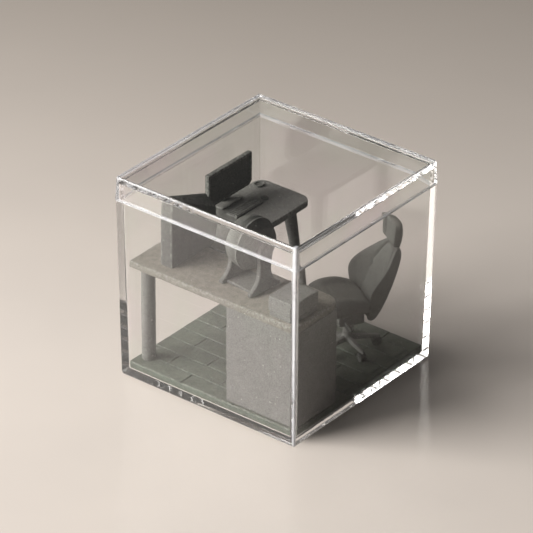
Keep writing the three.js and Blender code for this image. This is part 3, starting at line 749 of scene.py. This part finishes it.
def swivel_chair():
    axis = Vector(JOINTS["chair_swivel"]["pos_m"]) * 1000
    turned = Matrix.Translation((axis.x, axis.y, 0)) @ Matrix.Rotation(FACING, 4, "Z")

    bm = bmesh.new()
    add_block(bm, [(-4, 3.4), (-2.6, 2.6), (12.45, 15.5)], 0.5, 1.1)
    add_turned(bm, [(0, 0), (0.32, 0), (0.32, 3.2), (0.45, 3.4), (0.45, 4.4), (0.3, 4.6), (0, 4.6)], 20,
               Matrix.Translation((1.4, 2.4, 13.6)) @ Matrix.Rotation(-math.pi / 2, 4, "X"))
    piece("tilt_mechanism", bm, "chair", "resin_dark", ["chair_mechanism"], turned)

    # Seat: a low middle between two side bolsters, rolled down at the front.
    def seat_top(side, x):
        bolster = 2.3 * bead(abs(side), 6.3, 2.2) * max(0, 1 - ((x - 2) / 7.5) ** 2)
        roll = 2.6 * max(0, (x - 5.2) / 4.2) ** 2
        rise = 20.3 + 0.16 * (x + 5) * (1 - 0.03 * x)
        seam = 0.3 * bead(abs(side), 4.4, 0.28) + 0.25 * bead(x, 4.6, 0.28) * (abs(side) < 4.6)
        return rise + bolster - roll - seam + 0.25 * math.cos(side * 0.5)

    def seat_bottom(side, x):
        return 15.75 + 0.045 * side * side + 1.6 * max(0, (x - 4) / 5.4) ** 2

    def seat_half(x):
        t = (x + 4.6) / 14
        spread = 1.85 * math.sin(min(1, max(0, t)) * math.pi * 0.62) ** 0.7
        return 6.6 + spread - 1.6 * max(0, (x - 7.4) / 2) ** 2

    bm = bmesh.new()
    stations = [-4.75, -4.6, -4.3, -3.8] + [-3.2 + 0.4 * k for k in range(30)] + [8.7, 9.0, 9.25, 9.4]
    add_cushion(bm, stations, seat_top, seat_bottom, seat_half, 4.0, 44, "x")
    # The chair's cushions use the darker copy of the grey resin: painted shade.
    piece("seat_cushion", bm, "chair", "resin_grey", ["chair_seat"], turned,
          crease=70, rough=0.04, material=SHADED_CHAIR_GREY)

    # Backrest: a middle panel between seams, with wings that fold forward.
    height, lean = 21, math.radians(22.5)
    leaning = turned @ Matrix.Translation((-4.2, 0, 14.6)) @ Matrix.Rotation(-lean, 4, "Y")

    def back_half(z):
        t = z / height
        low = 4.6 + 4.0 * math.sin(min(1.0, t / 0.45) * math.pi / 2) ** 0.9
        return low if t < 0.45 else 3.3 + 5.3 * math.cos((t - 0.45) / 0.55 * math.pi / 2) ** 0.85

    def back_front(side, z):
        wing = 10.5 - math.sqrt(max(1, 110 - side * side))
        wing += 1.4 * max(0, (abs(side) - 5.2) / 3.4) ** 1.5 * bead(z, 9, 7)
        seam_at = 4.3 * min(1, back_half(z) / 7.5)
        seam = 0.45 * bead(abs(side), seam_at, 0.3)
        middle = 0.45 * max(0, 1 - (side / seam_at) ** 2)
        return wing + middle - seam + 0.5 * bead(z, 5.8, 3.2) * (1 - min(1, abs(side) / 5))

    def back_rear(side, z):
        spine = 0.7 * bead(side, 0, 1.5) * (z < 14) * min(1, (14 - z) / 3 if z < 14 else 0)
        return -2.3 + 22 - math.sqrt(484 - side * side) - spine

    bm = bmesh.new()
    stations = [0, 0.12, 0.35, 0.7] + [1.1 + 0.42 * k for k in range(47)] + [20.6, 20.8, 20.95, 21]
    add_cushion(bm, stations, back_front, back_rear, back_half, 6.0, 48)
    piece("back_cushion", bm, "chair", "resin_grey", ["chair_backrest"], leaning,
          crease=70, rough=0.04, material=SHADED_CHAIR_GREY)

    bm = bmesh.new()
    add_block(bm, [(-1.9, -0.7), (-1.3, 1.3), (20.5, 21.9)], 0.3, 0.8)
    piece("headrest_stalk", bm, "chair", "resin_dark", ["chair_headrest_post"], leaning)

    pad_height = 6.5
    upright = turned @ Matrix.Translation((-11.8, 0, 34.7)) @ Matrix.Rotation(-math.radians(3), 4, "Y")

    def pad_half(z):
        t = z / pad_height
        return 1.8 + 2.5 * max(0, 1 - abs(2 * min(1, t) - 1) ** 5) ** 0.4

    def pad_front(side, z):
        fold = 7 - math.sqrt(max(0.5, 49 - side * side))
        return fold + 0.5 * max(0, 1 - (side / 2.6) ** 2) - 0.3 * bead(abs(side), 2.8, 0.25)

    def pad_rear(side, z):
        return -2.7 + 8 - math.sqrt(64 - side * side) + 0.5 * ((z - 3.4) / 3.1) ** 2

    bm = bmesh.new()
    stations = [0, 0.08, 0.25, 0.5] + [0.8 + 0.3 * k for k in range(18)] + [6.15, 6.3, 6.43, 6.5]
    add_cushion(bm, stations, pad_front, pad_rear, pad_half, 4.0, 40)
    piece("headrest_cushion", bm, "chair", "resin_grey", ["chair_headrest"], upright,
          crease=70, rough=0.03, material=SHADED_CHAIR_GREY)


# ---- camera, light and floor --------------------------------------------------------------------

def camera():
    azimuth, elevation, roll = math.radians(38.29), math.radians(30.26), math.radians(0.38)
    distance, lens, sensor = 1.1039, 279.7, 36
    half_cube, shift_right, shift_up = 0.03, -0.0808, 0.8785
    level = math.cos(elevation)
    back = Vector((math.sin(azimuth) * level, -math.cos(azimuth) * level, math.sin(elevation)))
    right = Vector((0, 0, 1)).cross(back).normalized()
    up = back.cross(right)
    right, up = right * math.cos(roll) + up * math.sin(roll), up * math.cos(roll) - right * math.sin(roll)
    data = bpy.data.cameras.new("camera")
    data.lens, data.sensor_width = lens, sensor
    data.clip_start, data.clip_end = 0.05, 20
    made = bpy.data.objects.new("camera", data)
    bpy.context.scene.collection.objects.link(made)
    place = right * (shift_right * half_cube) + up * (shift_up * half_cube) + back * distance
    turn = Matrix((right, up, back)).transposed().to_4x4()
    made.matrix_world = Matrix.Translation(place) @ turn
    bpy.context.scene.camera = made


def area_light(name, place, aim, size, power, colour):
    data = bpy.data.lights.new(name, "AREA")
    data.shape, data.size, data.size_y = "RECTANGLE", size[0], size[1]
    data.energy, data.color = power, colour
    made = bpy.data.objects.new(name, data)
    bpy.context.scene.collection.objects.link(made)
    made.location = place
    made.rotation_mode = "QUATERNION"
    made.rotation_quaternion = (Vector(aim) - Vector(place)).to_track_quat("-Z", "Y")


TABLE_DROP = 0.0002
GLOW_FROM, GLOW_FACING, GLOW_STRENGTH = (-0.8, -0.55, 0.2), (0.2, 0.97), (0.085, 0.9)
GLOW_COLOUR, WINDOW_COLOUR = (1.0, 0.965, 0.925, 1), (1.0, 0.965, 0.92)
WINDOW_PLACE, WINDOW_AIM, WINDOW_SIZE, WINDOW_WATTS = (-0.52, -0.6, 0.4), (0, 0, 0.02), (0.6, 0.6), 15.6
BOUNCES, TRANSPARENT_BOUNCES = 32, 24


def studio():
    bm = bmesh.new()
    bmesh.ops.create_grid(bm, x_segments=24, y_segments=24, size=3.0)
    mesh = bpy.data.meshes.new("table_floor")
    bm.to_mesh(mesh)
    bm.free()
    floor = bpy.data.objects.new("table_floor", mesh)
    floor.location.z = -TABLE_DROP
    bpy.context.scene.collection.objects.link(floor)
    mesh.materials.append(pale_floor())
    world = bpy.data.worlds.new("studio")
    bpy.context.scene.world = world
    world.use_nodes = True
    tree = world.node_tree
    background = tree.nodes["Background"]
    facing = tree.nodes.new("ShaderNodeVectorMath")
    facing.operation = "DOT_PRODUCT"
    tree.links.new(tree.nodes.new("ShaderNodeTexCoord").outputs["Generated"], facing.inputs[0])
    facing.inputs[1].default_value = Vector(GLOW_FROM).normalized()
    glow = tree.nodes.new("ShaderNodeMapRange")
    glow.interpolation_type = "SMOOTHSTEP"
    for socket, number in zip(glow.inputs[1:5], GLOW_FACING + GLOW_STRENGTH):
        socket.default_value = number
    tree.links.new(facing.outputs["Value"], glow.inputs[0])
    tree.links.new(glow.outputs[0], background.inputs[1])
    background.inputs[0].default_value = GLOW_COLOUR
    area_light("window", WINDOW_PLACE, WINDOW_AIM, WINDOW_SIZE, WINDOW_WATTS, WINDOW_COLOUR)
    cycles = bpy.context.scene.cycles
    cycles.max_bounces = cycles.transmission_bounces = cycles.glossy_bounces = BOUNCES
    cycles.transparent_max_bounces = TRANSPARENT_BOUNCES
    bpy.context.scene.view_settings.view_transform = "Standard"


clear_cube()
plank_floor()
furniture()
desk_things()
yoke_and_head()
monitor_set()
chair_base()
swivel_chair()
camera()
studio()
